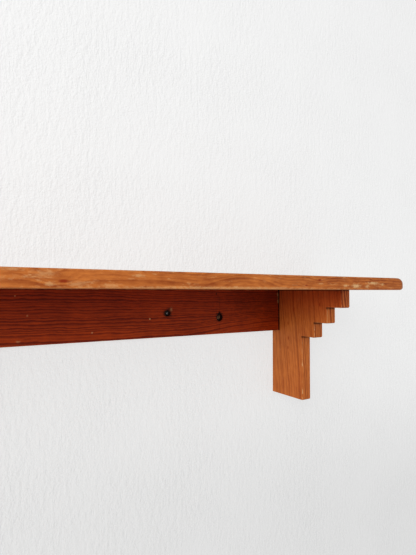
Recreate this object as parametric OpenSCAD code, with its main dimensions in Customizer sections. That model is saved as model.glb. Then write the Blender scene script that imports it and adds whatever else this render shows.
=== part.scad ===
// Wall shelf: one solid pine board on two stepped brackets, with a rail behind it against the wall.
// Millimetres. X runs along the shelf, -Y is the room, +Y is the wall, Z is up.
// The origin is the centre of the rail's back face, so the plane y = 0 is the wall.

/* [Shelf board] */
// Length of the board
board_len = 1200; // [900:10:1500]
// Depth of the board, from the wall to its front edge
board_depth = 210; // [190:5:250]
// Thickness of the board
board_t = 20; // [18:1:24]
// How far the board runs past each bracket
end_overhang = 105; // [60:5:140]
// Radius of the front corners, seen from above
corner_r = 25; // [14:1:40]
// Radius along the top of each end
end_top_r = 12; // [4:0.5:12]
// Radius along the bottom of each end
end_bottom_r = 6; // [2:0.5:6]
// Radius of the arris along the front edge
front_arris_r = 2; // [0.5:0.5:3]

/* [Brackets] */
// Thickness of the bracket stock
bracket_t = 20; // [18:1:24]
// Height of each bracket, below the board
bracket_h = 200; // [160:5:240]
// Depth of the leg against the wall
leg_depth = 81; // [70:1:90]
// How far each step stands out past the one below it, from the top step down
step_runs = [31, 29, 30]; // [24:1:34]
// Height of each step's front, from the top step down
step_drops = [30, 27.5, 27]; // [22:0.5:36]
// Radius on the lower corner of each step and of the leg
step_corner_r = 2.5; // [1:0.5:4]

/* [Back rail] */
// Height of the rail
rail_h = 78; // [70:1:90]
// Thickness of the rail
rail_t = 20; // [18:1:24]
// Open gap between each end of the rail and its bracket
rail_end_gap = 2; // [1:0.5:4]

/* [Board screws and plugs] */
// Distance of the front bracket screw from the wall
bracket_screw_front = 97; // [90:1:104]
// Distance of the back bracket screw from the wall
bracket_screw_back = 30; // [26:1:40]
// Distance of the outer rail screws from the middle
rail_screw_x = 300; // [270:5:310]
// Length of the board screws
board_screw_len = 50; // [40:5:55]
// Radius of the board screws
board_screw_r = 2; // [1.5:0.25:2.5]
// Radius of the wooden plugs over the screw heads
plug_r = 5; // [4.5:0.5:6]
// Depth of the wooden plugs
plug_h = 8; // [6:0.5:10]

/* [Rail dowels] */
// Radius of the dowels
dowel_r = 4; // [3:0.5:5]
// Depth of each dowel in the bracket
dowel_in_bracket = 14; // [10:1:15]
// Depth of each dowel in the rail
dowel_in_rail = 23; // [18:1:30]
// Height of the dowels above and below the middle of the rail
dowel_offset = 20; // [15:1:25]

/* [Wall screws] */
// Distance of the two main wall screws from the middle
wall_screw_x = 335; // [320:5:350]
// Depth of the two main wall screws below the middle of the rail
wall_screw_drop = 10; // [0:1:14]
// Length that each wall screw stands out behind the rail
wall_grip = 35; // [25:5:50]
// Radius of their thread
wall_thread_r = 2.5; // [2:0.25:3]
// Radius of their plain shank
wall_shank_r = 2; // [1.5:0.25:2]
// Radius of the holes that they pass through
wall_hole_r = 2.6; // [2.6:0.1:3.2]
// Radius of their heads
wall_head_r = 4; // [4:0.25:5]
// Radius of the sunk holes over them
recess_r = 6.5; // [5.5:0.5:7]
// Depth of those sunk holes
recess_depth = 3; // [3:0.5:7]

/* [Extra wall screw] */
// Place of the extra wall screw, to the right of the middle
extra_screw_x = 233; // [220:1:250]
// Radius of its thread
extra_thread_r = 2; // [1.75:0.25:2.5]
// Radius of its plain shank
extra_shank_r = 1.5; // [1.25:0.25:1.75]
// Radius of the hole that it passes through
extra_hole_r = 2.1; // [2.1:0.1:2.6]
// Radius of its head
extra_head_r = 3.5; // [3:0.25:4]
// Radius of the sunk hole over it
extra_recess_r = 4.75; // [4:0.25:5]
// Depth of that sunk hole
extra_recess_depth = 2.5; // [1:0.5:5]

/* [Hidden] */

$fn = 64;
cut = 1; // how far a cutting shape runs past the wood

under_z = rail_h / 2;                              // underside of the board
top_z = under_z + board_t;                         // top of the board
bracket_mid_x = board_len / 2 - end_overhang - bracket_t / 2;
bracket_inner_x = bracket_mid_x - bracket_t / 2;
rail_len = 2 * (bracket_inner_x - rail_end_gap);
rail_mid_y = -rail_t / 2;

board_head_r = 2 * board_screw_r;                  // head of a board screw
board_head_z = top_z - plug_h;                     // top of a board screw's head
wall_head_y = -rail_t + recess_depth;              // face of a main wall screw's head
extra_head_y = -rail_t + extra_recess_depth;       // face of the extra wall screw's head
head_rim = 0.5;                                    // straight rim round a screw head
slot_w = 1.1;
slot_depth = 1.2;
cross_depth = 2;

pine = "peru";
shaded_pine = "sienna";
end_grain = "chocolate";
steel = "silver";
old_steel = "rosybrown";

// Every place where a screw goes down through the board: [x, y]
bracket_screw_spots = [
    for (side = [-1, 1]) for (d = [bracket_screw_front, bracket_screw_back])
        [side * bracket_mid_x, -d]
];
rail_screw_spots = [for (x = [-rail_screw_x, 0, rail_screw_x]) [x, rail_mid_y]];

// Running sum of the first n values of a list
function sum_of(list, n) = n == 0 ? 0 : list[n - 1] + sum_of(list, n - 1);

// ---- Screws, plugs and dowels ----

// Half section of a countersunk screw, with its head's face at 0 and its point down at -len
module screw_section(len, head_r, shank_r, thread_r, plain) {
    cone_end = head_rim + head_r - shank_r;
    polygon([
        [0, 0], [head_r, 0], [head_r, -head_rim], [shank_r, -cone_end],
        [shank_r, -max(plain, cone_end)], [thread_r, -max(plain, cone_end)],
        [thread_r, -(len - 2 * thread_r)], [0, -len]
    ]);
}

// Straight driver slot across a head
module slot_cut(head_r) {
    translate([-head_r - cut, -slot_w / 2, -slot_depth])
        cube([2 * (head_r + cut), slot_w, slot_depth + cut]);
}

// Cross recess in a head
module cross_cut(head_r) {
    for (turn = [0, 90])
        rotate([0, 0, turn])
            translate([-head_r * 0.6, -slot_w / 2, -cross_depth])
                cube([head_r * 1.2, slot_w, cross_depth + cut]);
}

// Steel screw from the board down into a bracket or the rail
module board_screw(spot) {
    color(steel)
        translate([spot[0], spot[1], board_head_z])
            difference() {
                rotate_extrude()
                    screw_section(board_screw_len, board_head_r, board_screw_r, board_screw_r, 0);
                slot_cut(board_head_r);
            }
}

// The space that a board screw and its plug fill in the wood
module board_screw_bore(spot) {
    translate([spot[0], spot[1], board_head_z]) {
        rotate_extrude()
            screw_section(board_screw_len, board_head_r, board_screw_r, board_screw_r, 0);
        cylinder(r = plug_r, h = plug_h + cut);
    }
}

// Round wooden plug, glued over a screw head and cut off level with the board
module board_plug(spot) {
    color(end_grain)
        translate([spot[0], spot[1], board_head_z])
            cylinder(r = plug_r, h = plug_h);
}

// The dowel between the rail's end and a bracket, on the side given
module rail_dowel(side, z, r = dowel_r) {
    start = bracket_inner_x - rail_end_gap - dowel_in_rail;
    translate([side * start, rail_mid_y, z])
        rotate([0, side * 90, 0])
            cylinder(r = r, h = dowel_in_rail + rail_end_gap + dowel_in_bracket);
}

// One of the two main wall screws, sunk in the rail
module main_wall_screw(side) {
    plain = -wall_head_y;
    color(old_steel)
        translate([side * wall_screw_x, wall_head_y, -wall_screw_drop])
            rotate([90, 0, 0])
                difference() {
                    rotate_extrude()
                        screw_section(plain + wall_grip, wall_head_r, wall_shank_r,
                                      wall_thread_r, plain);
                    rotate([0, 0, 90]) slot_cut(wall_head_r);
                }
}

// Countersunk clearance hole right through the rail, for a head whose face is at 0
module countersunk_hole(head_r, hole_r) {
    rotate([90, 0, 0])
        rotate_extrude()
            polygon([
                [0, 0], [head_r, 0], [head_r, -head_rim],
                [hole_r, -head_rim - head_r + hole_r],
                [hole_r, -rail_t - cut], [0, -rail_t - cut]
            ]);
}

// Teardrop outline: a circle with its top drawn up to a point
module teardrop(r) {
    circle(r = r);
    polygon([[-0.68 * r, 0.6 * r], [0, 1.4 * r], [0.68 * r, 0.6 * r]]);
}

// ---- Wooden parts ----

// Outline of the board, seen from above
module board_plan() {
    half = board_len / 2;
    translate([-half, corner_r - board_depth]) square([board_len, board_depth - corner_r]);
    translate([corner_r - half, -board_depth]) square([board_len - 2 * corner_r, board_depth]);
    for (side = [-1, 1])
        translate([side * (half - corner_r), corner_r - board_depth]) circle(r = corner_r);
}

// Section of the board along its length: both ends are rounded over, more at the top
module board_end_section() {
    half = board_len / 2;
    translate([-half, end_bottom_r]) square([board_len, board_t - end_top_r - end_bottom_r]);
    translate([end_top_r - half, 0]) square([board_len - 2 * end_top_r, board_t]);
    translate([end_bottom_r - half, 0]) square([board_len - 2 * end_bottom_r, end_bottom_r]);
    for (side = [-1, 1]) {
        translate([side * (half - end_top_r), board_t - end_top_r]) circle(r = end_top_r);
        translate([side * (half - end_bottom_r), end_bottom_r]) circle(r = end_bottom_r);
    }
}

// Section of the board from front to back: the front edge has a small arris at top and bottom
module board_front_section() {
    r = front_arris_r;
    translate([-board_depth + r, 0]) square([board_depth - r, board_t]);
    translate([-board_depth, r]) square([board_depth, board_t - 2 * r]);
    for (z = [r, board_t - r]) translate([-board_depth + r, z]) circle(r = r);
}

module shelf_board() {
    color(pine)
        difference() {
            translate([0, 0, under_z])
                intersection() {
                    linear_extrude(board_t) board_plan();
                    rotate([90, 0, 0]) linear_extrude(board_depth) board_end_section();
                    translate([-board_len / 2, 0, 0])
                        rotate([90, 0, 90]) linear_extrude(board_len) board_front_section();
                }
            for (spot = bracket_screw_spots) board_screw_bore(spot);
            for (spot = rail_screw_spots) board_screw_bore(spot);
        }
}

module back_rail() {
    color(shaded_pine)
        difference() {
            translate([-rail_len / 2, -rail_t, -rail_h / 2]) cube([rail_len, rail_t, rail_h]);
            for (spot = rail_screw_spots) board_screw_bore(spot);
            for (side = [-1, 1]) {
                for (z = [-dowel_offset, dowel_offset]) rail_dowel(side, z);
                translate([side * wall_screw_x, wall_head_y, -wall_screw_drop]) {
                    countersunk_hole(wall_head_r, wall_hole_r);
                    rotate([90, 0, 0]) linear_extrude(recess_depth + cut) teardrop(recess_r);
                }
            }
            translate([extra_screw_x, extra_head_y, 0]) {
                countersunk_hole(extra_head_r, extra_hole_r);
                rotate([90, 0, 0]) cylinder(r = extra_recess_r, h = extra_recess_depth + cut);
            }
        }
}

// A block whose lower front corner is rounded: it hangs from 0 and reaches out to -depth
module step_block(depth, drop) {
    r = step_corner_r;
    translate([-depth, r - drop]) square([depth, drop - r]);
    translate([r - depth, -drop]) square([depth - r, drop]);
    translate([r - depth, r - drop]) circle(r = r);
}

// Side outline of a bracket: the leg, and three steps that grow outwards towards the board
module bracket_outline() {
    count = len(step_runs);
    step_block(leg_depth, bracket_h);
    for (i = [0:count - 1])
        step_block(
            leg_depth + sum_of(step_runs, count) - sum_of(step_runs, i),
            sum_of(step_drops, i + 1)
        );
}

module bracket(side) {
    color(pine)
        difference() {
            translate([side * bracket_mid_x - bracket_t / 2, 0, under_z])
                rotate([90, 0, 90]) linear_extrude(bracket_t) bracket_outline();
            for (spot = bracket_screw_spots) board_screw_bore(spot);
            for (z = [-dowel_offset, dowel_offset]) rail_dowel(side, z);
        }
}

// The extra wall screw: a thinner one, just under the face of the rail
module extra_wall_screw() {
    plain = -extra_head_y;
    color(steel)
        translate([extra_screw_x, extra_head_y, 0])
            rotate([90, 0, 0])
                difference() {
                    rotate_extrude()
                        screw_section(plain + wall_grip, extra_head_r, extra_shank_r,
                                      extra_thread_r, plain);
                    rotate([0, 0, 20]) cross_cut(extra_head_r);
                }
}

shelf_board();
back_rail();
bracket(-1);  // left_bracket
bracket(1);  // right_bracket
board_screw(bracket_screw_spots[0]);  // left_bracket_screw_front
board_screw(bracket_screw_spots[1]);  // left_bracket_screw_back
board_screw(bracket_screw_spots[2]);  // right_bracket_screw_front
board_screw(bracket_screw_spots[3]);  // right_bracket_screw_back
board_plug(bracket_screw_spots[0]);  // left_bracket_plug_front
board_plug(bracket_screw_spots[1]);  // left_bracket_plug_back
board_plug(bracket_screw_spots[2]);  // right_bracket_plug_front
board_plug(bracket_screw_spots[3]);  // right_bracket_plug_back
board_screw(rail_screw_spots[0]);  // rail_screw_left
board_screw(rail_screw_spots[1]);  // rail_screw_middle
board_screw(rail_screw_spots[2]);  // rail_screw_right
board_plug(rail_screw_spots[0]);  // rail_plug_left
board_plug(rail_screw_spots[1]);  // rail_plug_middle
board_plug(rail_screw_spots[2]);  // rail_plug_right
color(end_grain) rail_dowel(-1, dowel_offset);  // left_dowel_upper
color(end_grain) rail_dowel(-1, -dowel_offset);  // left_dowel_lower
color(end_grain) rail_dowel(1, dowel_offset);  // right_dowel_upper
color(end_grain) rail_dowel(1, -dowel_offset);  // right_dowel_lower
main_wall_screw(-1);  // wall_screw_left
main_wall_screw(1);  // wall_screw_right
extra_wall_screw();
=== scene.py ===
"""A pine wall shelf: a thick board with rounded ends on two stepped brackets, and a dark rail behind."""

import math

import bmesh
import bpy
from mathutils import Matrix, Vector, noise


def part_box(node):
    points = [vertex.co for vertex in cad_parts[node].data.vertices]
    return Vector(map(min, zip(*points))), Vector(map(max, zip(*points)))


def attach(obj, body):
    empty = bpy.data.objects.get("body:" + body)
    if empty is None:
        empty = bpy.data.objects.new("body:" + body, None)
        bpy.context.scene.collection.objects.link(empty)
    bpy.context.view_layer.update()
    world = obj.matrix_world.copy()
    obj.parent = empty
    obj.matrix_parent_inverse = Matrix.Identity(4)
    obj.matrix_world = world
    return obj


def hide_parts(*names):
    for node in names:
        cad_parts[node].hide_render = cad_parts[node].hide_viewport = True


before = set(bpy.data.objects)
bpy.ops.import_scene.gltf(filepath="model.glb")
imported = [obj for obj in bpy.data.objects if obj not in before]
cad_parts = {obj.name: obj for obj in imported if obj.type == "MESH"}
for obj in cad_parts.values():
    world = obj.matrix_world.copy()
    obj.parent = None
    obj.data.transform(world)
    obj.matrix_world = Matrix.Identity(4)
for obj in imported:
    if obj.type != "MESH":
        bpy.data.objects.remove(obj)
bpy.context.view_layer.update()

# ---- The camera ----
# It stands low and to the left of the middle, 0.64 m from the wall, just under the level of the
# board's underside, and looks to the right along the shelf and slightly upwards.

board_low, board_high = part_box("shelf_board")
underside = board_low[2]
board_top = board_high[2]

CAMERA_PLACE = (-0.0741, -0.6352, underside - 0.0019)
CAMERA_TURN = -32.04  # degrees: to the right of straight at the wall
CAMERA_TILT = 91.81  # degrees: 90 is level, and more looks up
CAMERA_ROLL = 0.13

camera_data = bpy.data.cameras.new("camera")
camera_data.lens = 27.05
camera_data.sensor_width = 36.0
camera_data.clip_start = 0.01
camera = bpy.data.objects.new("camera", camera_data)
bpy.context.scene.collection.objects.link(camera)
camera.matrix_world = (
    Matrix.Translation(CAMERA_PLACE)
    @ Matrix.Rotation(math.radians(CAMERA_TURN), 4, "Z")
    @ Matrix.Rotation(math.radians(CAMERA_TILT), 4, "X")
    @ Matrix.Rotation(math.radians(CAMERA_ROLL), 4, "Z")
)
bpy.context.scene.camera = camera

# ---- The wall, the floor and the light ----
# A pale rolled-plaster wall behind the shelf and a plain pale floor below it. The light is that of
# a white room: even all round, with one large soft source on the left, 1 m above the shelf.


class Finish:
    """A node material that is being put together."""

    def __init__(self, name):
        self.material = bpy.data.materials.new(name)
        self.material.use_nodes = True
        self.tree = self.material.node_tree
        self.tree.nodes.clear()
        self.output = self.tree.nodes.new("ShaderNodeOutputMaterial")
        self.place = self.add("ShaderNodeTexCoord").outputs["Object"]

    def add(self, kind, inputs=None, **settings):
        """One node, with its settings; an input is a value, or another node's output."""
        made = self.tree.nodes.new(kind)
        for key, value in settings.items():
            setattr(made, key, value)
        for key, value in (inputs or {}).items():
            if isinstance(value, bpy.types.NodeSocket):
                self.tree.links.new(value, made.inputs[key])
            else:
                made.inputs[key].default_value = value
        return made

    def math(self, operation, *values, clamp=False):
        inputs = dict(enumerate(values))
        return self.add("ShaderNodeMath", inputs, operation=operation, use_clamp=clamp).outputs[0]

    def sum(self, start, *terms):
        """A start value plus each (value, factor) pair."""
        total = start
        for value, factor in terms:
            total = self.add("ShaderNodeMath", {0: value, 1: factor, 2: total},
                             operation="MULTIPLY_ADD").outputs[0]
        return total

    def vector(self, operation, *values):
        made = self.add("ShaderNodeVectorMath", dict(enumerate(values)), operation=operation)
        return made.outputs["Value" if operation in ("LENGTH", "DISTANCE") else "Vector"]

    def noise(self, place, size, detail=2.0, rough=0.5, stretch=(1, 1, 1)):
        """Noise from 0 to 1 whose blobs are about size metres across, drawn out by stretch."""
        scale = [1 / (size * s) for s in stretch]
        spread = self.vector("MULTIPLY", place, scale)
        inputs = {"Vector": spread, "Scale": 1.0, "Detail": detail, "Roughness": rough}
        raw = self.add("ShaderNodeTexNoise", inputs).outputs["Fac"]
        inputs = {"Value": raw, "From Min": 0.27, "From Max": 0.73}
        return self.add("ShaderNodeMapRange", inputs).outputs["Result"]

    def ramp(self, value, low, high, to_low=0.0, to_high=1.0):
        """Smooth step of a value from one range to another."""
        inputs = {
            "Value": value,
            "From Min": low, "From Max": high, "To Min": to_low, "To Max": to_high,
        }
        made = self.add("ShaderNodeMapRange", inputs, interpolation_type="SMOOTHSTEP")
        return made.outputs["Result"]

    def blend(self, share, first, second, way="MIX"):
        """Two colours mixed by a share from 0 to 1."""
        inputs = {0: share, 6: first, 7: second}
        for key in (6, 7):
            if not isinstance(inputs[key], bpy.types.NodeSocket):
                inputs[key] = (*inputs[key], 1.0)
        return self.add("ShaderNodeMix", inputs, data_type="RGBA", blend_type=way).outputs[2]

    def relief(self, height, depth):
        """Bump from a height of 0 to 1 that is depth metres deep."""
        inputs = {"Height": height, "Distance": depth, "Strength": 1.0}
        return self.add("ShaderNodeBump", inputs).outputs["Normal"]

    def surface(self, **inputs):
        """The shader; names are its sockets' names with _ for a space."""
        shader = self.add(
            "ShaderNodeBsdfPrincipled", {key.replace("_", " "): v for key, v in inputs.items()}
        )
        self.tree.links.new(shader.outputs[0], self.output.inputs["Surface"])
        return shader


def new_object(name, work, *materials):
    """A finished bmesh as an object at the origin."""
    mesh = bpy.data.meshes.new(name)
    work.to_mesh(mesh)
    work.free()
    made = bpy.data.objects.new(name, mesh)
    bpy.context.scene.collection.objects.link(made)
    for material in materials:
        mesh.materials.append(material)
    return made


WALL_PAINTED_LIGHT = (0.455, 0.560)  # painted light: the wall glows, least low on the left under the shelf and most high up


def plaster():
    """White wall paint over rolled plaster, with brush drag that runs mostly upright."""
    finish = Finish("wall_plaster")
    drag = finish.noise(finish.place, 0.007, 4.0, 0.62, (1.0, 1.0, 2.6))
    grit = finish.noise(finish.place, 0.0035, 3.0, 0.6)
    height = finish.sum(0.0, (drag, 0.7), (grit, 0.3))
    patches = finish.noise(finish.place, 0.16, 2.0, 0.6)
    height = finish.math("MULTIPLY", height, finish.sum(0.4, (patches, 0.9)))
    parts = finish.add("ShaderNodeSeparateXYZ", {"Vector": finish.place}).outputs
    up = finish.sum(0.0, (parts["Z"], 1.0), (parts["X"], 0.18))
    # Painted light and shade: the wall glows, brighter high up and to the right, dimmer low on the left
    # where the shelf's shade falls.
    shader = finish.surface(
        Base_Color=(0.22, 0.22, 0.22, 1.0), Roughness=0.8, Specular_IOR_Level=0.1,
        Emission_Color=(1.0, 1.0, 1.0, 1.0), Emission_Strength=finish.ramp(up, -0.35, 0.10, *WALL_PAINTED_LIGHT),
        Normal=finish.relief(height, 0.0030),
    )
    # The wall shows only its room side, so the shelf can be seen from behind as well.
    side = finish.add("ShaderNodeNewGeometry").outputs["Backfacing"]
    clear = finish.add("ShaderNodeBsdfTransparent").outputs[0]
    seen = finish.add("ShaderNodeMixShader", {0: side, 1: shader.outputs[0], 2: clear})
    finish.tree.links.new(seen.outputs[0], finish.output.inputs["Surface"])
    return finish.material


FLOOR_Z = -1.2
ROOM = 4.0  # half the width of the wall and of the floor
WALL_HALF_HEIGHT = 2.0
WALL_GAP = 0.0004  # keeps the wall clear of the faces that stand against it

wall_mesh = bmesh.new()
bmesh.ops.create_grid(wall_mesh, x_segments=1, y_segments=1, size=1.0)
bmesh.ops.transform(
    wall_mesh,
    matrix=Matrix.Translation((0, WALL_GAP, FLOOR_Z + WALL_HALF_HEIGHT))
    @ Matrix.Rotation(math.radians(90), 4, "X")
    @ Matrix.Diagonal((ROOM, WALL_HALF_HEIGHT, 1, 1)),
    verts=wall_mesh.verts,
)
wall = new_object("wall", wall_mesh, plaster())
wall.visible_shadow = False
wall.visible_diffuse = False
wall.visible_glossy = False

floor_mesh = bmesh.new()
bmesh.ops.create_grid(floor_mesh, x_segments=1, y_segments=1, size=ROOM)
bmesh.ops.translate(floor_mesh, vec=(0, 0, FLOOR_Z), verts=floor_mesh.verts)
floor_paint = Finish("floor_paint")
floor_paint.surface(Base_Color=(0.78, 0.78, 0.77, 1.0), Roughness=0.6)
floor = new_object("floor", floor_mesh, floor_paint.material)

world = bpy.data.worlds.new("white_room")
world.use_nodes = True
world.node_tree.nodes["Background"].inputs["Color"].default_value = (0.96, 0.98, 1.0, 1.0)
world.node_tree.nodes["Background"].inputs["Strength"].default_value = 0.52
bpy.context.scene.world = world
bpy.context.scene.view_settings.view_transform = "Standard"
bpy.context.scene.view_settings.look = "Medium High Contrast"


def soft_light(name, place, aim, size, power, colour):
    """A square soft source that faces a point."""
    data = bpy.data.lights.new(name, "AREA")
    data.shape = "SQUARE"
    data.size = size
    data.energy = power
    data.color = colour
    lamp = bpy.data.objects.new(name, data)
    lamp.location = place
    lamp.rotation_euler = (Vector(aim) - Vector(place)).to_track_quat("-Z", "Y").to_euler()
    bpy.context.scene.collection.objects.link(lamp)


soft_light("window", (-2.15, -1.9, 1.05), (0.2, 0.0, 0.0), 1.9, 72.0, (1.0, 0.985, 0.96))

# ---- The shelf board ----
# One plain pine board, 20 mm thick, planed and varnished orange. Its ends and front corners were
# rounded over by hand, more at the top, and its front arris is only just broken.

END_TOP_R = 0.012
END_BOTTOM_R = 0.006
FRONT_TOP_R = 0.0018
FRONT_BOTTOM_R = 0.0014
CORNER_R = 0.025
PALE_WOOD = (0.64, 0.40, 0.20)
# Near black, for dark marks and for painted shade.
DARK_STAIN_AND_SHADE = (0.012, 0.004, 0.003)

# The turn of the log inside a piece: its heart runs along the piece's own length.
LOG_ALONG = {"X": (0.0, math.radians(90), 0.0), "Z": (0.0, 0.0, 0.0)}


def pine(name, grain, heart, lean, ring, early, late, wave, knots=(), swells=(), rubs=(), stains_and_shade=(),
         contrast=0.6, mottle=0.6, scuffs=0.0, edge_lines=0.0, shade_under_board=0.0, hollow_shade=None):
    """Varnished pine cut from a log, so that every face shows the same rings.

    heart is a point on the log's heart, and lean turns its line a little off the grain's axis.
    ring is the width of a year, early and late are its two colours, and wave is how far the
    rings waver. knots are (place, radius), and swells, where the rings bulge, are (place, size,
    amount). rubs are pale (place, size, strength) patches, and stains are dark ones: real marks,
    and painted shade. contrast is how strong the rings are, mottle how blotchy the wood is, and
    scuffs how much of the varnish is chafed. edge_lines deepens the rings on faces that look to
    the front, and shaded paints shade towards the board: a darker, redder colour. soot is a
    function that gives painted shade in hollows and creases.
    """
    finish = Finish(name)
    turn = [a + math.radians(b) for a, b in zip(LOG_ALONG[grain], lean)]
    log = finish.add(
        "ShaderNodeMapping",
        {"Vector": finish.place, "Location": heart, "Rotation": turn},
        vector_type="TEXTURE",
    ).outputs[0]

    # How far a point is from the heart, as the rings run: they wander, and pass round knots.
    depth = finish.vector("LENGTH", finish.vector("MULTIPLY", log, (1.0, 1.0, 0.0)))
    depth = finish.sum(
        depth,
        (finish.noise(log, 0.09, 2.0, 0.5, (1, 1, 4)), 0.0075),
        (finish.noise(log, 0.010, 3.0, 0.55, (1, 1, 3)), wave),
    )
    cores = 0.0
    for place, radius in knots:
        stretch = [1.0, 1.0, 1.0]
        stretch["XYZ".index(grain)] = 0.35
        offset = finish.vector("SUBTRACT", finish.place, place)
        apart = finish.vector("LENGTH", finish.vector("MULTIPLY", offset, stretch))
        depth = finish.sum(depth, (finish.ramp(apart, 0.0, radius * 5, 1.0, 0.0), radius))
        cores = finish.math("MAXIMUM", cores, finish.ramp(apart, radius * 0.3, radius, 1.0, 0.0))
    for place, size, amount in swells:
        offset = finish.vector("SUBTRACT", finish.place, place)
        reach = finish.vector("LENGTH", finish.vector("DIVIDE", offset, size))
        depth = finish.sum(depth, (finish.ramp(reach, 0.0, 1.0, 1.0, 0.0), amount))

    # Wide and narrow years, each with its own darkness: pale spring wood, then a dark edge.
    years = finish.math("DIVIDE", depth, ring)
    slow = finish.add("ShaderNodeTexNoise", {"W": years, "Scale": 0.23, "Detail": 1.0},
                      noise_dimensions="1D").outputs["Fac"]
    years = finish.sum(years, (slow, 2.2))
    year = finish.math("FLOOR", years)
    part = finish.math("FRACT", years)
    dark_edge = finish.math(
        "MULTIPLY", finish.ramp(part, 0.2, 0.85), finish.ramp(part, 0.88, 1.0, 1.0, 0.0)
    )
    own = finish.add("ShaderNodeTexWhiteNoise", {"W": year}, noise_dimensions="1D").outputs["Value"]
    rings = finish.math("MULTIPLY", dark_edge, finish.ramp(own, 0.0, 1.0, 0.3, 1.0))

    # Fibres, streaks and mottling along the grain, and clouds in the varnish.
    fibre = finish.noise(log, 0.0008, 3.0, 0.6, (1, 1, 30))
    streak = finish.noise(log, 0.0030, 3.0, 0.6, (1, 1, 12))
    spots = finish.noise(log, 0.0060, 4.0, 0.65, (1, 1, 2.6))
    cloud = finish.noise(finish.place, 0.045, 3.0, 0.6)
    normal = finish.add("ShaderNodeNewGeometry").outputs["Normal"]
    level = finish.add("ShaderNodeSeparateXYZ", {"Vector": finish.place}).outputs["Z"]
    front = 0.0
    lines = 0.0
    if edge_lines:
        front = finish.vector("LENGTH", finish.vector("MULTIPLY", normal, (0.0, 1.0, 0.0)))
        lines = finish.math(
            "MULTIPLY", front, finish.ramp(level, underside - 0.05, underside - 0.02, 0.3, 1.0)
        )
        contrast = finish.sum(contrast, (lines, edge_lines))
    darkness = finish.sum(
        0.42 - 0.5 * (0.16 + mottle + 0.3),
        (rings, contrast), (fibre, 0.16), (streak, 0.45 * mottle), (spots, 0.55 * mottle), (cloud, 0.3),
        (lines, -0.30),
    )
    colour = finish.blend(finish.math("ADD", darkness, 0.0, clamp=True), early, late)
    if knots:
        colour = finish.blend(cores, colour, (late[0] * 1.05, late[1] * 0.7, late[2] * 0.5))
    if shade_under_board:
        # Painted shade: darker and redder towards the board's underside, less on faces that look to the
        # front.
        near = finish.ramp(level, underside - 0.07, underside, 0.0, shade_under_board)
        near = finish.math("MULTIPLY", near, finish.sum(1.0, (front, -0.65)))
        shade_colour = finish.blend(1.0, colour, (0.80, 0.45, 0.45), "MULTIPLY")
        colour = finish.blend(near, colour, shade_colour)

    # End grain drinks the varnish and goes dark.
    axis = [1.0 if letter == grain else 0.0 for letter in "XYZ"]
    facing = finish.vector("LENGTH", finish.vector("MULTIPLY", normal, axis))
    end = finish.ramp(facing, 0.55, 0.95, 0.0, 0.6)
    colour = finish.blend(end, colour, [c * 0.45 for c in late])

    # Pale wood where the varnish is rubbed off, and dark marks: real ones, and painted shade.
    rag = finish.noise(log, 0.0028, 4.0, 0.75, (1, 1, 2))
    worn = finish.math(
        "MULTIPLY",
        finish.add("ShaderNodeAttribute", attribute_name="arris").outputs["Fac"],
        finish.ramp(finish.noise(finish.place, 0.012, 3.0, 0.6), 0.35, 0.8, 0.0, 0.6),
    )
    if scuffs:
        chafe = finish.noise(log, 0.0045, 4.0, 0.7, (1, 1, 3.5))
        worn = finish.math("MAXIMUM", worn, finish.ramp(chafe, 0.66, 1.0, 0.0, scuffs))
    for place, size, strength in rubs:
        worn = finish.math("MAXIMUM", worn, patch(finish, rag, place, size, strength))
    colour = finish.blend(worn, colour, PALE_WOOD)
    dirt_and_shade = 0.0
    for place, size, strength in stains_and_shade:
        dirt_and_shade = finish.math("MAXIMUM", dirt_and_shade, patch(finish, rag, place, size, strength))
    # Painted shade in hollows and creases.
    if hollow_shade:
        dirt_and_shade = finish.math("MAXIMUM", dirt_and_shade, hollow_shade(finish))
    if stains_and_shade or hollow_shade:
        colour = finish.blend(dirt_and_shade, colour, DARK_STAIN_AND_SHADE)

    height = finish.sum(0.0, (rings, 0.5), (fibre, 0.5))
    finish.surface(
        Base_Color=colour,
        Roughness=finish.sum(0.38, (fibre, 0.12), (worn, 0.25), (dirt_and_shade, 0.2)),
        Specular_IOR_Level=0.2,
        Normal=finish.relief(height, 0.00015),
    )
    return finish.material


def patch(finish, rag, place, size, strength):
    """A ragged patch round a place, with the half sizes given."""
    offset = finish.vector("SUBTRACT", finish.place, place)
    reach = finish.vector("LENGTH", finish.vector("DIVIDE", offset, size))
    return finish.ramp(finish.sum(-0.7, (reach, 1.0), (rag, 1.4)), 0.0, 1.15, strength, 0.0)


def soften(made, angle=35.0):
    """Smooth shading that keeps flat faces flat."""
    made.data.shade_smooth()
    made.data.set_sharp_from_angle(angle=math.radians(angle))
    fair = made.modifiers.new("fair", "WEIGHTED_NORMAL")
    fair.keep_sharp = True


def mark_arris(work, wear):
    """Marks how worn each point of an edge is, for the wood finish: wear gives it, from 0 to 1."""
    layer = work.verts.layers.float.new("arris")
    for vert in work.verts:
        vert[layer] = float(wear(vert))


def smooth_step(value):
    """Eases from 0 to 1."""
    value = min(max(value, 0.0), 1.0)
    return value * value * (3 - 2 * value)


def rim_distance(x, y):
    """Distance in from the board's rim, and how far round from the front towards the end."""
    from_end = board_high[0] - abs(x)
    from_front = y - board_low[1]
    if from_end < CORNER_R and from_front < CORNER_R:
        out = Vector((CORNER_R - from_end, CORNER_R - from_front))
        return CORNER_R - out.length, CORNER_R * math.atan2(out.x, out.y)
    if from_front < from_end:
        return from_front, CORNER_R - from_end
    return from_end, CORNER_R * math.pi / 2 + from_front - CORNER_R


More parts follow.
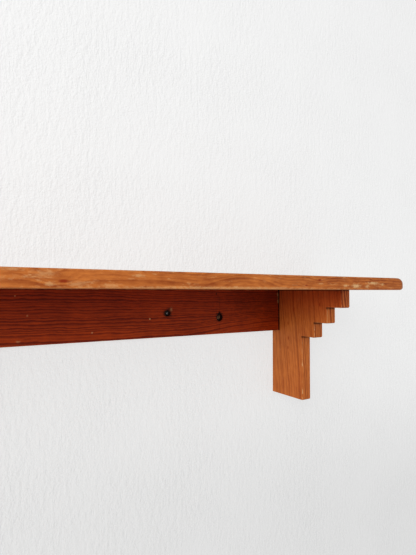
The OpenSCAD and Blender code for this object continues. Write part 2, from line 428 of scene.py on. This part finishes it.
board = bmesh.new()
SPARE = 0.03  # extra wood behind the wall's plane, cut off once the ends are rounded
bmesh.ops.create_cube(board, size=1.0)
board_size = Vector(board_high) - Vector(board_low) + Vector((0, SPARE, 0))
board_mid = (Vector(board_high) + Vector(board_low) + Vector((0, SPARE, 0))) / 2
bmesh.ops.scale(board, vec=board_size, verts=board.verts)
bmesh.ops.translate(board, vec=board_mid, verts=board.verts)
front_corners = [
    edge for edge in board.edges
    if all(vert.co.y < board_mid.y for vert in edge.verts)
    and abs(edge.verts[0].co.z - edge.verts[1].co.z) > 0.001
]
bmesh.ops.bevel(board, geom=front_corners, offset=CORNER_R, offset_type="OFFSET", segments=16,
                profile=0.5, affect="EDGES", material=-1)
columns = [0.025 * i for i in range(-22, 23)]
for side in (-1, 1):
    columns += [side * (board_high[0] - CORNER_R - step) for step in (0.006, 0.013)]
for x in columns:
    bmesh.ops.bisect_plane(board, geom=board.verts[:] + board.edges[:] + board.faces[:],
                           plane_co=(x, 0, 0), plane_no=(1, 0, 0))
for up, end_r, front_r in ((1, END_TOP_R, FRONT_TOP_R), (-1, END_BOTTOM_R, FRONT_BOTTOM_R)):
    level = board_top if up > 0 else underside
    flat = [face for face in board.faces if face.normal.z * up > 0.9]
    # Each ring lies a little further in, closest together where the rounding is steepest.
    rings = [front_r * (1 - math.cos(math.radians(a))) for a in (30, 60, 90)]
    rings += [end_r * (1 - math.cos(math.radians(a))) for a in (42, 52, 62, 75, 90)]
    gone = 0.0
    for ring in sorted(rings):
        bmesh.ops.inset_region(board, faces=flat, thickness=ring - gone, use_boundary=True,
                               use_even_offset=True)
        gone = ring
    for vert in board.verts:
        if abs(vert.co.z - level) > 1e-6:
            continue
        inward, along = rim_distance(vert.co.x, vert.co.y)
        share = smooth_step((along + 0.018) / 0.045)
        radius = front_r + (end_r - front_r) * share
        short = max(radius - inward, 0.0)
        vert.co.z -= up * (radius - math.sqrt(max(radius * radius - short * short, 0.0)))
bmesh.ops.bisect_plane(board, geom=board.verts[:] + board.edges[:] + board.faces[:],
                       plane_co=(0, 0, 0), plane_no=(0, 1, 0), clear_outer=True)
bmesh.ops.holes_fill(board, edges=[edge for edge in board.edges if edge.is_boundary], sides=0)
bmesh.ops.recalc_face_normals(board, faces=board.faces)


def board_wear(vert):
    """The front edge is rubbed along its upper arris, and hardly along its lower one."""
    on_arris = 1e-5 < vert.co.y - board_low[1] < FRONT_TOP_R * 0.7
    return on_arris * (0.15 if vert.co.z < board_mid.z else 0.4)


mark_arris(board, board_wear)


MERGE = 2e-6  # points closer than this are one point


def cut_away(made, cutter):
    """Takes the cutter's shape out of a piece, for good, and drops the cutter.

    The cutter's pegs may run through each other. The points that a cut leaves almost on top of
    each other are merged.
    """
    step = made.modifiers.new("cut", "BOOLEAN")
    step.operation = "DIFFERENCE"
    step.solver = "EXACT"
    step.use_self = True
    step.object = cutter
    bpy.context.view_layer.update()
    result = bpy.data.meshes.new_from_object(made.evaluated_get(bpy.context.evaluated_depsgraph_get()))
    clean = bmesh.new()
    clean.from_mesh(result)
    bmesh.ops.remove_doubles(clean, verts=clean.verts, dist=MERGE)
    bmesh.ops.dissolve_degenerate(clean, edges=clean.edges, dist=MERGE)
    clean.to_mesh(result)
    clean.free()
    made.modifiers.clear()
    made.data = result
    cut_mesh = cutter.data
    bpy.data.objects.remove(cutter)
    bpy.data.meshes.remove(cut_mesh)


def add_bore(work, place, axis, radius, length, far_radius=None, segments=32):
    """Adds a round peg to a cutter: it starts at the place and runs along the axis."""
    axis = Vector(axis)
    turn = axis.to_track_quat("Z", "Y").to_matrix().to_4x4()
    middle = Vector(place) + axis * (length / 2)
    bmesh.ops.create_cone(work, cap_ends=True, segments=segments, radius1=radius,
                          radius2=radius if far_radius is None else far_radius, depth=length,
                          matrix=Matrix.Translation(middle) @ turn)


OVERCUT = 0.001  # how far a cutter runs past the wood
HEAD_RIM = 0.0005  # straight rim round a screw's head
SEAT_SLACK = 0.0001


def add_seat(work, place, axis, head_r, hole_r):
    """Adds the countersink for a screw whose head has its face at the place."""
    place = Vector(place)
    axis = Vector(axis)
    add_bore(work, place - axis * SEAT_SLACK, axis, head_r + SEAT_SLACK, HEAD_RIM + SEAT_SLACK * 2)
    wide = head_r + SEAT_SLACK / 2
    narrow = hole_r - SEAT_SLACK * 2
    add_bore(work, place + axis * HEAD_RIM, axis, wide, wide - narrow, far_radius=narrow)


BOARD_SCREW_R = 0.0020
CHANNEL_R = 0.0021  # hole through the board, just wider than the screw
PLUG_BORE_R = 0.0050
PLUG_BORE_RISE = 0.01  # from the screw's head up to past the board's top

# Every screw that goes down through the board has its head under a wooden plug.
BOARD_SCREWS = [
    "left_bracket_screw_front", "left_bracket_screw_back",
    "right_bracket_screw_front", "right_bracket_screw_back",
    "rail_screw_left", "rail_screw_middle", "rail_screw_right",
]


def middle_of(node):
    """Centre of a node's box."""
    low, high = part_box(node)
    return [(a + b) / 2 for a, b in zip(low, high)]


def screw_channels(names):
    """Cutter for the holes that board screws and their plugs sit in."""
    work = bmesh.new()
    for name in names:
        x, y, _ = middle_of(name)
        low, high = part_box(name)
        head_r = (high[0] - low[0]) / 2
        add_bore(work, (x, y, high[2] + PLUG_BORE_RISE), (0, 0, -1), PLUG_BORE_R, PLUG_BORE_RISE)
        add_seat(work, (x, y, high[2]), (0, 0, -1), head_r, CHANNEL_R)
        add_bore(work, (x, y, high[2] + 0.0001), (0, 0, -1), CHANNEL_R, high[2] - low[2] + 0.0002)
    return new_object("channels", work)


board_pine = pine(
    "board_pine", "X", (0.0, -0.09, -0.028), (0.0, 0.5, 0.4), 0.0027,
    (0.60, 0.212, 0.050), (0.24, 0.050, 0.009), 0.0014, contrast=0.36, mottle=0.78, scuffs=0.45,
    knots=[
        ((0.0235, -0.2100, 0.0463), 0.0024),
        ((0.3830, -0.2100, 0.0530), 0.0018),
        ((0.3560, -0.2100, 0.0450), 0.0014),
    ],
    swells=[
        ((0.2500, -0.2100, 0.0450), (0.075, 0.06, 0.030), -0.009),
        ((0.0100, -0.2100, 0.0520), (0.035, 0.05, 0.020), 0.003),
    ],
    rubs=[
        ((0.4390, -0.21, 0.0452), (0.0070, 0.004, 0.0024), 0.80),
        ((0.4630, -0.21, 0.0450), (0.0120, 0.005, 0.0045), 1.00),
        ((0.4890, -0.21, 0.0445), (0.0060, 0.004, 0.0040), 0.80),
        ((0.5030, -0.21, 0.0495), (0.0170, 0.005, 0.0030), 0.95),
        ((0.5282, -0.21, 0.0479), (0.0060, 0.004, 0.0022), 0.85),
        ((0.1030, -0.21, 0.0533), (0.0090, 0.004, 0.0024), 0.45),
        ((0.0060, -0.21, 0.0535), (0.0150, 0.004, 0.0050), 0.35),
        ((0.0110, -0.21, 0.0433), (0.0080, 0.004, 0.0035), 0.45),
        ((0.0380, -0.21, 0.0435), (0.0140, 0.004, 0.0035), 0.35),
        ((-0.024, -0.21, 0.0570), (0.0160, 0.004, 0.0020), 0.35),
        ((0.0730, -0.21, 0.0425), (0.0130, 0.004, 0.0024), 0.45),
        ((0.2334, -0.21, 0.0412), (0.0050, 0.004, 0.0018), 0.60),
        ((0.2703, -0.21, 0.0398), (0.0060, 0.004, 0.0014), 0.60),
        ((0.2300, -0.21, 0.0400), (0.2600, 0.004, 0.0026), 0.50),
        ((-0.100, -0.21, 0.0490), (0.0900, 0.004, 0.0040), 0.40),
    ],
)
shelf_board = new_object("shelf_board_pine", board, board_pine)
cut_away(shelf_board, screw_channels(BOARD_SCREWS))
soften(shelf_board)
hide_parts("shelf_board")
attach(shelf_board, "root")

# ---- The back rail ----
# A second pine board, stained dark red-brown, screwed to the wall under the shelf board. Its ends
# stop 2 mm short of the brackets, and the right one is chipped.

# Each screw that goes through the rail into the wall: the radii of its sunk hole and its hole.
SUNK_HOLES = {
    "wall_screw_left": (0.0065, 0.0026),
    "wall_screw_right": (0.0065, 0.0026),
    "extra_wall_screw": (0.00475, 0.0021),
}
RAG_SEGMENTS = 18
RAG_DEPTH = 0.0009
RAG_RATE = 400  # how close together the rags of the extra hole's mouth are

DOWEL_R = 0.0040
DOWELS = ["left_dowel_upper", "left_dowel_lower", "right_dowel_upper", "right_dowel_lower"]

rail_low, rail_high = (Vector(corner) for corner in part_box("back_rail"))
rail_face = rail_low.y


def sunk_hole_painted_shade(finish):
    """Painted shade on the sides and the floor of the sunk holes over the wall screws."""
    depth = finish.add("ShaderNodeSeparateXYZ", {"Vector": finish.place}).outputs["Y"]
    total = 0.0
    for name in SUNK_HOLES:
        x, _, z = middle_of(name)
        offset = finish.vector("SUBTRACT", finish.place, (x, 0.0, z))
        away = finish.vector("LENGTH", finish.vector("MULTIPLY", offset, (1.0, 0.0, 1.0)))
        total = finish.math("MAXIMUM", total, finish.ramp(away, 0.011, 0.013, 1.0, 0.0))
    behind = finish.ramp(depth, rail_face + 0.0002, rail_face + 0.0010, 0.0, 0.93)
    return finish.math("MULTIPLY", total, behind)


rail_pine = pine(
    "rail_pine", "X", (-0.3, 0.12, -0.13), (0.0, 0.6, 0.5), 0.0026,
    (0.47, 0.071, 0.0068), (0.160, 0.0150, 0.0020), 0.0018, contrast=0.68, mottle=0.45, shade_under_board=0.55,
    swells=[((0.50, rail_face, -0.045), (0.26, 0.08, 0.075), -0.018)],
    rubs=[
        ((0.2017, rail_face, -0.0083), (0.0016, 0.003, 0.0014), 0.9),
        ((0.0039, rail_face, 0.0294), (0.0012, 0.003, 0.0011), 0.5),
        ((0.0193, rail_face, 0.0020), (0.0018, 0.003, 0.0016), 0.4),
        ((0.1089, rail_face, -0.0258), (0.0016, 0.003, 0.0014), 0.5),
        ((0.0086, rail_face, -0.0327), (0.0040, 0.003, 0.0016), 0.35),
        ((0.2395, rail_face, 0.0056), (0.0030, 0.003, 0.0040), 0.4),
        ((rail_high.x, rail_face, 0.0290), (0.0045, 0.006, 0.0060), 1.0),
        ((rail_high.x, rail_face, 0.0180), (0.0040, 0.006, 0.0050), 1.0),
    ],
    stains_and_shade=[
        # Painted shade over the rail's right end, beside the bracket and under the board.
        ((0.4600, rail_face, 0.0250), (0.1500, 0.030, 0.0600), 0.35),
        ((0.3286, rail_face, 0.0313), (0.0016, 0.003, 0.0030), 0.9),
        ((0.3356, rail_face, 0.0140), (0.0007, 0.003, 0.0260), 0.7),
        ((0.3356, rail_face, -0.0260), (0.0007, 0.003, 0.0120), 0.5),
        # Dark round the two screw holes: dirt, and painted shade in the holes.
        ((0.3350, rail_face, -0.0080), (0.0095, 0.003, 0.0125), 0.9),
        ((0.2330, rail_face, 0.0000), (0.0095, 0.003, 0.0090), 0.95),
    ],
    hollow_shade=sunk_hole_painted_shade,
)

rail = bmesh.new()
bmesh.ops.create_cube(rail, size=1.0)
bmesh.ops.scale(rail, vec=rail_high - rail_low, verts=rail.verts)
bmesh.ops.translate(rail, vec=(rail_high + rail_low) / 2, verts=rail.verts)
bevelled = bmesh.ops.bevel(rail, geom=rail.edges[:], offset=0.0011, offset_type="OFFSET", segments=2,
                           profile=0.5, affect="EDGES", material=-1)
rail.faces.index_update()
edge_faces = set(face.index for face in bevelled["faces"])
mark_arris(rail, lambda vert: all(face.index in edge_faces for face in vert.link_faces))

rail_cutter = bmesh.new()
for name, (recess_r, hole_r) in SUNK_HOLES.items():
    low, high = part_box(name)
    x, _, z = middle_of(name)
    head_r = (high[0] - low[0]) / 2
    head_y = low[1]
    mouth = rail_face - OVERCUT
    if name == "extra_wall_screw":
        # A hole that was opened roughly with a knife: its mouth is wider, and ragged.
        add_bore(rail_cutter, (x, mouth, z), (0, 1, 0), recess_r * 1.3, head_y - mouth,
                 far_radius=recess_r * 0.9, segments=RAG_SEGMENTS)
        for vert in rail_cutter.verts[-2 * RAG_SEGMENTS:]:
            vert.co += noise.noise_vector(vert.co * RAG_RATE) * RAG_DEPTH * (vert.co.y < rail_face)
    else:
        add_bore(rail_cutter, (x, mouth, z), (0, 1, 0), recess_r, head_y - mouth)
        # The keyhole shape: the sunk hole was opened upwards with a smaller bit, twice.
        for rise, share, shallower, segments in ((0.58, 0.7, 0.0002, 20), (1.05, 0.34, 0.0004, 12)):
            add_bore(rail_cutter, (x, mouth, z + recess_r * rise), (0, 1, 0), recess_r * share,
                     head_y - mouth - shallower, segments=segments)
    add_seat(rail_cutter, (x, head_y, z), (0, 1, 0), head_r, hole_r)
    add_bore(rail_cutter, (x, head_y, z), (0, 1, 0), hole_r, 0.03)
for name in BOARD_SCREWS:
    if name.startswith("rail"):
        x, y, _ = middle_of(name)
        start = rail_high.z + OVERCUT
        add_bore(rail_cutter, (x, y, start), (0, 0, -1), BOARD_SCREW_R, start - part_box(name)[0][2])
for name in DOWELS:
    _, y, z = middle_of(name)
    low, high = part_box(name)
    side, end_x, inner_x = (-1, rail_low.x, high[0]) if low[0] < 0 else (1, rail_high.x, low[0])
    add_bore(rail_cutter, (end_x + side * OVERCUT, y, z), (-side, 0, 0), DOWEL_R,
             abs(end_x - inner_x) + OVERCUT)
rail_piece = new_object("back_rail_pine", rail, rail_pine)
cut_away(rail_piece, new_object("rail_holes", rail_cutter))
soften(rail_piece)
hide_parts("back_rail")
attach(rail_piece, "root")

# ---- The brackets ----
# Two upright pine boards on edge. Each was sawn as a leg against the wall and three steps that
# grow out under the board, with its corners rubbed round and its arrises worn pale.

STEP_RUNS = [0.031, 0.029, 0.030]
STEP_DROPS = [0.030, 0.0275, 0.027]
STEP_CORNER_R = 0.0025
ARRIS_R = 0.0012
POINT_LEN = 0.0040  # the hole narrows over a screw's point
POINT_LAP = 0.0004
DOWEL_IN_BRACKET = 0.014


def bracket(node, material):
    """One bracket: sawn, eased along its arrises, and bored for its screws and dowels."""
    low, high = (Vector(corner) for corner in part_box(node))
    # Down the steps from the top front corner, then down the leg and back to the wall.
    outline = [(low.y, high.z)]
    for run, drop in zip(STEP_RUNS, STEP_DROPS):
        y, z = outline[-1]
        outline += [(y, z - drop), (y + run, z - drop)]
    outline += [(outline[-1][0], low.z), (high.y, low.z), (high.y, high.z)]
    work = bmesh.new()
    side = work.faces.new([work.verts.new((low.x, y, z)) for y, z in outline])
    grown = bmesh.ops.extrude_face_region(work, geom=[side])
    far = [item for item in grown["geom"] if isinstance(item, bmesh.types.BMVert)]
    bmesh.ops.translate(work, vec=(high.x - low.x, 0, 0), verts=far)
    bmesh.ops.recalc_face_normals(work, faces=work.faces)

    def outer_corner(edge):
        """A lower front corner of a step or of the leg."""
        across = abs(edge.verts[0].co.x - edge.verts[1].co.x) > 0.001
        here = edge.verts[0].co
        return across and edge.is_convex and here.z < high.z - 0.001 and here.y < -0.001

    bmesh.ops.bevel(work, geom=[edge for edge in work.edges if outer_corner(edge)],
                    offset=STEP_CORNER_R, offset_type="OFFSET", segments=4, profile=0.5,
                    affect="EDGES", material=-1)

    def side_arris(edge):
        """An arris that a hand can reach: not against the board or the wall."""
        if not edge.is_convex or edge.calc_face_angle(0) < math.radians(60):
            return False
        mid = (edge.verts[0].co + edge.verts[1].co) / 2
        return mid.z < high.z - 1e-5 and mid.y < high.y - 1e-5

    eased = bmesh.ops.bevel(work, geom=[edge for edge in work.edges if side_arris(edge)],
                            offset=ARRIS_R, offset_type="OFFSET", segments=2, profile=0.5,
                            affect="EDGES", material=-1)
    work.faces.index_update()
    faces = set(face.index for face in eased["faces"])
    mark_arris(work, lambda vert: all(face.index in faces for face in vert.link_faces))

    # The holes for its two screws, from the top, and for its two dowels, from the inner side.
    holes = bmesh.new()
    hand = node.split("_")[0]
    for name in [name for name in BOARD_SCREWS if name.startswith(hand)]:
        x, y, _ = middle_of(name)
        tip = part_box(name)[0][2]
        add_bore(holes, (x, y, high.z + OVERCUT), (0, 0, -1), BOARD_SCREW_R,
                 high.z + OVERCUT - tip - POINT_LEN)
        add_bore(holes, (x, y, tip + POINT_LEN + POINT_LAP), (0, 0, -1), BOARD_SCREW_R * 0.95,
                 POINT_LEN + POINT_LAP, far_radius=0.0001)
    inner = -1 if hand == "right" else 1
    face_x = low.x if inner < 0 else high.x
    for name in [name for name in DOWELS if name.startswith(hand)]:
        _, y, z = middle_of(name)
        add_bore(holes, (face_x + inner * OVERCUT, y, z), (-inner, 0, 0), DOWEL_R,
                 DOWEL_IN_BRACKET + OVERCUT)
    made = new_object(node + "_pine", work, material)
    cut_away(made, new_object("bracket_holes", holes))
    soften(made)
    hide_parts(node)
    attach(made, "root")


def bracket_painted_shade(inner_x):
    """Painted shade: in the gap beside the rail's end, under each step, and just under the board."""

    def hollow_shade(finish):
        parts = finish.add("ShaderNodeSeparateXYZ", {"Vector": finish.place}).outputs
        behind = finish.ramp(parts["Y"], rail_face - 0.0006, rail_face + 0.0006)
        above = finish.ramp(parts["Z"], rail_low.z - 0.0006, rail_low.z + 0.0006)
        off_inner = finish.math("ABSOLUTE", finish.math("SUBTRACT", parts["X"], inner_x))
        beside = finish.ramp(off_inner, 0.0004, 0.0012, 1.0, 0.0)
        total = finish.math("MULTIPLY", finish.math("MULTIPLY", behind, above), beside)
        y, z = board_low[1] + 0.039, underside
        for run, drop in zip(STEP_RUNS, STEP_DROPS):
            y, z = y + run, z - drop
            below = finish.math(
                "MULTIPLY", finish.ramp(parts["Z"], z - 0.0050, z - 0.0004),
                finish.ramp(parts["Z"], z - 0.0002, z + 0.0003, 1.0, 0.0),
            )
            near = finish.math(
                "MULTIPLY", finish.ramp(parts["Y"], y - 0.0010, y - 0.0004),
                finish.ramp(parts["Y"], y + 0.0008, y + 0.0040, 1.0, 0.0),
            )
            crease = finish.math("MULTIPLY", below, near)
            total = finish.math("MAXIMUM", total, finish.math("MULTIPLY", crease, 0.8))
        # Painted shade just under the board.
        top = finish.ramp(parts["Z"], underside - 0.0030, underside - 0.0002, 0.0, 0.75)
        return finish.math("MAXIMUM", total, top)

    return hollow_shade


BRACKET_EARLY = (0.63, 0.215, 0.050)
BRACKET_LATE = (0.30, 0.070, 0.014)

bracket_pine_right = pine(
    "bracket_pine_right", "Z", (0.315, 0.05, 0.0), (-4.5, -0.5, 0.0), 0.0037,
    BRACKET_EARLY, BRACKET_LATE, 0.0012, contrast=0.48, mottle=0.50, scuffs=0.15, edge_lines=1.6,
    shade_under_board=0.9,
    knots=[
        ((0.475, -0.0601, 0.0034), 0.0020),
        ((0.475, -0.0440, -0.0242), 0.0016),
        ((0.475, -0.0437, -0.0700), 0.0016),
        ((0.475, -0.0446, -0.0521), 0.0018),
        ((0.475, -0.1237, 0.0134), 0.0018),
    ],
    rubs=[
        ((0.4755, -0.0808, -0.0953), (0.0011, 0.0012, 0.0080), 0.9),
        ((0.4755, -0.0808, -0.1457), (0.0011, 0.0012, 0.0070), 0.9),
        ((0.4755, -0.1105, -0.0315), (0.0010, 0.0010, 0.0050), 0.9),
        ((0.4755, -0.1400, -0.0037), (0.0008, 0.0008, 0.0090), 0.7),
    ],
    hollow_shade=bracket_painted_shade(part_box("right_bracket")[0][0]),
)
bracket("right_bracket", bracket_pine_right)
bracket_pine_left = pine(
    "bracket_pine_left", "Z", (-0.62, 0.06, 0.0), (-2.0, 0.8, 0.0), 0.0040,
    BRACKET_EARLY, BRACKET_LATE, 0.0012, contrast=0.48, mottle=0.50, scuffs=0.15, edge_lines=1.6,
    shade_under_board=0.9,
    knots=[((-0.475, -0.055, -0.040), 0.0022)],
    rubs=[((-0.4755, -0.0808, -0.1200), (0.0011, 0.0012, 0.0090), 0.9)],
    hollow_shade=bracket_painted_shade(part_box("left_bracket")[1][0]),
)
bracket("left_bracket", bracket_pine_left)

# ---- The plugs over the board screws ----
# Round pine plugs, glued into the counterbores over the screw heads and cut off level with the
# board. Their end grain is up, and it has shrunk a little under the varnish.

PLUG_SLACK = 0.00006
PLUG_SINK = 0.0001  # how far the wood has shrunk below the board's top

plug_pine = pine(
    "plug_pine", "Z", (-0.9, -0.6, 0.0), (1.0, 0.6, 0.0), 0.0015,
    (0.46, 0.150, 0.040), (0.22, 0.055, 0.014), 0.0006, contrast=0.6, mottle=0.5,
)

for name in BOARD_SCREWS:
    node = name.replace("_screw", "_plug")
    low, high = (Vector(corner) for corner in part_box(node))
    middle = (low + high) / 2
    radius = (high.x - low.x) / 2 - PLUG_SLACK
    plug = bmesh.new()
    bmesh.ops.create_cone(plug, cap_ends=True, segments=48, radius1=radius, radius2=radius,
                          depth=high.z - low.z - PLUG_SINK,
                          matrix=Matrix.Translation(middle - Vector((0, 0, PLUG_SINK / 2))))
    rims = [edge for edge in plug.edges if edge.calc_face_angle(0) > 1.0]
    bmesh.ops.bevel(plug, geom=rims, offset=0.00025, offset_type="OFFSET", segments=2, profile=0.5,
                    affect="EDGES", material=-1)
    top = [face for face in plug.faces if face.normal.z > 0.99]
    bmesh.ops.inset_region(plug, faces=top, thickness=0.0012, depth=-0.00004)
    piece = new_object(node + "_wood", plug, plug_pine)
    soften(piece)
    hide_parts(node)
    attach(piece, "root")

# ---- The screws ----
# Countersunk wood screws: seven plain steel ones go down through the board and are hidden under
# the plugs. Two old slotted ones and a thinner cross-headed one hold the rail to the wall.


def screw_metal(name, clean, tarnish, rough, metal, head_shade=None):
    """Drawn steel: fine scratches, and tarnish that gathers in blotches.

    grime is (places, clear), for old screws: painted shade, each head black outside the clear
    radius round its place on the wall, where the sunk hole shades it.
    """
    finish = Finish(name)
    blotch = finish.noise(finish.place, 0.0014, 4.0, 0.65)
    speck = finish.noise(finish.place, 0.0004, 3.0, 0.6)
    dull = finish.ramp(finish.sum(0.0, (blotch, 0.7), (speck, 0.3)), 0.40, 0.62)
    colour = finish.blend(dull, clean, tarnish)
    if head_shade:
        places, clear = head_shade
        away = 1.0
        for x, z in places:
            offset = finish.vector("SUBTRACT", finish.place, (x, 0.0, z))
            flat = finish.vector("LENGTH", finish.vector("MULTIPLY", offset, (1.0, 0.0, 1.0)))
            away = finish.math("MINIMUM", away, flat)
        # Painted shade: the head's rim goes black where the sunk hole shades it.
        depth = finish.add("ShaderNodeSeparateXYZ", {"Vector": finish.place}).outputs["Y"]
        edge = finish.ramp(finish.sum(0.0, (away, 1.0), (blotch, 0.0008)), clear, clear + 0.0010)
        old = finish.math("MULTIPLY", edge, finish.ramp(depth, -0.003, -0.001, 0.95, 0.0))
        colour = finish.blend(old, colour, DARK_STAIN_AND_SHADE)
        dull = finish.math("MAXIMUM", dull, old)
    finish.surface(
        Base_Color=colour,
        Metallic=finish.math("SUBTRACT", metal, finish.math("MULTIPLY", dull, metal * 0.6)),
        Roughness=finish.sum(rough, (dull, 0.3), (speck, 0.1)),
        Normal=finish.relief(speck, 0.00006),
    )
    return finish.material


def screw_mesh(name, length, head_r, shank_r, thread_r, plain, drive, metal):
    """A wood screw with its head's face at 0 and its point down at -length.

    plain is the length without a thread, and drive is slot or cross.
    """
    core_r = thread_r * 0.66
    point = thread_r * 4
    outline = [
        (0.0, 0.0), (head_r - 0.00025, 0.0), (head_r, -0.0002), (head_r, -HEAD_RIM),
        (shank_r, -HEAD_RIM - head_r + shank_r), (shank_r, -plain), (core_r, -plain - 0.0008),
        (core_r, point - length), (0.0, -length),
    ]
    work = bmesh.new()
    chain = [work.verts.new((radius, 0, z)) for radius, z in outline]
    line = [work.edges.new(pair) for pair in zip(chain, chain[1:])]
    bmesh.ops.spin(work, geom=chain + line, cent=(0, 0, 0), axis=(0, 0, 1), angle=math.tau,
                   steps=32, use_merge=True)
    bmesh.ops.remove_doubles(work, verts=work.verts, dist=1e-6)

    # The thread: a three-sided ridge that winds down to the point and dies away there.
    pitch = thread_r * 0.84
    turns = math.floor((length - plain) / pitch - 0.8)
    body = set(work.verts)
    start = -plain - pitch * 0.3
    tooth = [(core_r * 0.8, start + pitch * 0.32), (thread_r, start), (core_r * 0.8, start - pitch * 0.32)]
    ridge = work.faces.new([work.verts.new((radius, 0, z)) for radius, z in tooth])
    bmesh.ops.spin(work, geom=[ridge] + list(ridge.edges) + list(ridge.verts), cent=(0, 0, 0),
                   axis=(0, 0, -1), dvec=(0, 0, -pitch / 18), angle=math.tau * turns,
                   steps=18 * turns)
    for vert in work.verts:
        left = (vert.co.z + length) / point
        if vert not in body and left < 1:
            vert.co.xy *= max(left, 0.03)
    bmesh.ops.recalc_face_normals(work, faces=work.faces)
    screw = new_object(name, work, metal)

    cutter = bmesh.new()
    if drive == "slot":
        sizes = [(head_r * 2.4, 0.0011, 0.0024)]
    else:
        sizes = [(head_r * 1.15, 0.0009, 0.0036), (0.0009, head_r * 1.15, 0.0036)]
    for size in sizes:
        made = bmesh.ops.create_cube(cutter, size=1.0, matrix=Matrix.Diagonal((*size, 1.0)))
        if drive == "cross":
            deep = [vert for vert in made["verts"] if vert.co.z < 0]
            bmesh.ops.scale(cutter, vec=(0.45, 0.45, 1.0), verts=deep)
    cut_away(screw, new_object("drive_slot", cutter))
    mesh = screw.data
    bpy.data.objects.remove(screw)
    return mesh


def set_screw(node, mesh, place):
    """Puts a screw where its node is and gives it its finish."""
    piece = bpy.data.objects.new(node + "_steel", mesh.copy())
    piece.data.transform(place)
    bpy.context.scene.collection.objects.link(piece)
    soften(piece, 40.0)
    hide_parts(node)
    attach(piece, "root")


board_screw_steel = screw_metal("board_screw_steel", (0.55, 0.54, 0.52), (0.30, 0.28, 0.25), 0.28, 1.0)
low, high = (Vector(corner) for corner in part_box(BOARD_SCREWS[0]))
board_screw = screw_mesh("board_screw", high.z - low.z, (high.x - low.x) / 2, shank_r=BOARD_SCREW_R,
                         thread_r=BOARD_SCREW_R, plain=0.016, drive="slot", metal=board_screw_steel)
for count, name in enumerate(BOARD_SCREWS):
    x, y, _ = middle_of(name)
    place = Matrix.Translation((x, y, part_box(name)[1][2])) @ Matrix.Rotation(0.7 * count, 4, "Z")
    set_screw(name, board_screw, place)

main_screws = [(middle_of(name)[0], middle_of(name)[2]) for name in ("wall_screw_left", "wall_screw_right")]
old_steel = screw_metal("wall_screw_old_steel", (0.30, 0.17, 0.09), (0.12, 0.050, 0.022), 0.42, 0.7,
                        head_shade=(main_screws, 0.0029))
low, high = (Vector(corner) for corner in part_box("wall_screw_right"))
wall_screw = screw_mesh("wall_screw", high.y - low.y, (high.x - low.x) / 2, shank_r=0.0020,
                        thread_r=0.0025, plain=-low.y, drive="slot", metal=old_steel)
for name, turn in (("wall_screw_left", 70), ("wall_screw_right", 96)):
    x, _, z = middle_of(name)
    place = (
        Matrix.Translation((x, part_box(name)[0][1], z))
        @ Matrix.Rotation(math.radians(90), 4, "X")
        @ Matrix.Rotation(math.radians(turn), 4, "Z")
    )
    set_screw(name, wall_screw, place)

extra_place = (middle_of("extra_wall_screw")[0], middle_of("extra_wall_screw")[2])
zinc = screw_metal("extra_screw_zinc", (0.50, 0.51, 0.52), (0.22, 0.21, 0.20), 0.4, 1.0,
                   head_shade=([extra_place], 0.0012))
low, high = (Vector(corner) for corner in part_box("extra_wall_screw"))
extra_screw = screw_mesh("extra_screw", high.y - low.y, (high.x - low.x) / 2, shank_r=0.0015,
                         thread_r=0.0020, plain=-low.y, drive="cross", metal=zinc)
x, _, z = middle_of("extra_wall_screw")
set_screw(
    "extra_wall_screw", extra_screw,
    Matrix.Translation((x, low.y, z)) @ Matrix.Rotation(math.radians(90), 4, "X"),
)

# ---- The dowels between the rail and the brackets ----
# Fluted beech dowels, two at each end of the rail, glued into both. They keep the rail and the
# brackets in line, and cross the open gap between them.

FLUTES = 20
FLUTE_DEPTH = 0.00035
DOWEL_SLACK = 0.00005

dowel_beech = Finish("dowel_beech")
fleck = dowel_beech.noise(dowel_beech.place, 0.0007, 3.0, 0.6, (5, 1, 1))
band = dowel_beech.noise(dowel_beech.place, 0.004, 2.0, 0.5, (6, 1, 1))
tone = dowel_beech.sum(-0.3, (fleck, 0.9), (band, 0.7))
dowel_beech.surface(
    Base_Color=dowel_beech.blend(tone, (0.60, 0.40, 0.24), (0.38, 0.21, 0.11)),
    Roughness=0.7, Specular_IOR_Level=0.3, Normal=dowel_beech.relief(fleck, 0.0001),
)

for node in DOWELS:
    low, high = (Vector(corner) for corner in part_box(node))
    radius = (high.z - low.z) / 2 - DOWEL_SLACK
    dowel = bmesh.new()
    bmesh.ops.create_cone(dowel, cap_ends=True, segments=FLUTES * 4, radius1=radius, radius2=radius,
                          depth=high.x - low.x,
                          matrix=Matrix.Translation((low + high) / 2)
                          @ Matrix.Rotation(math.radians(90), 4, "Y"))
    axis_y, axis_z = (low.y + high.y) / 2, (low.z + high.z) / 2
    for vert in dowel.verts:
        out = Vector((vert.co.y - axis_y, vert.co.z - axis_z))
        groove = max(0.0, math.cos(FLUTES * math.atan2(out.y, out.x))) * FLUTE_DEPTH
        vert.co.y -= out.x / out.length * groove
        vert.co.z -= out.y / out.length * groove
    rims = [edge for edge in dowel.edges if edge.calc_face_angle(0) > 1.0]
    bmesh.ops.bevel(dowel, geom=rims, offset=0.0008, offset_type="OFFSET", segments=2, profile=0.5,
                    affect="EDGES", material=-1)
    piece = new_object(node + "_wood", dowel, dowel_beech.material)
    soften(piece, 50.0)
    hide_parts(node)
    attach(piece, "root")
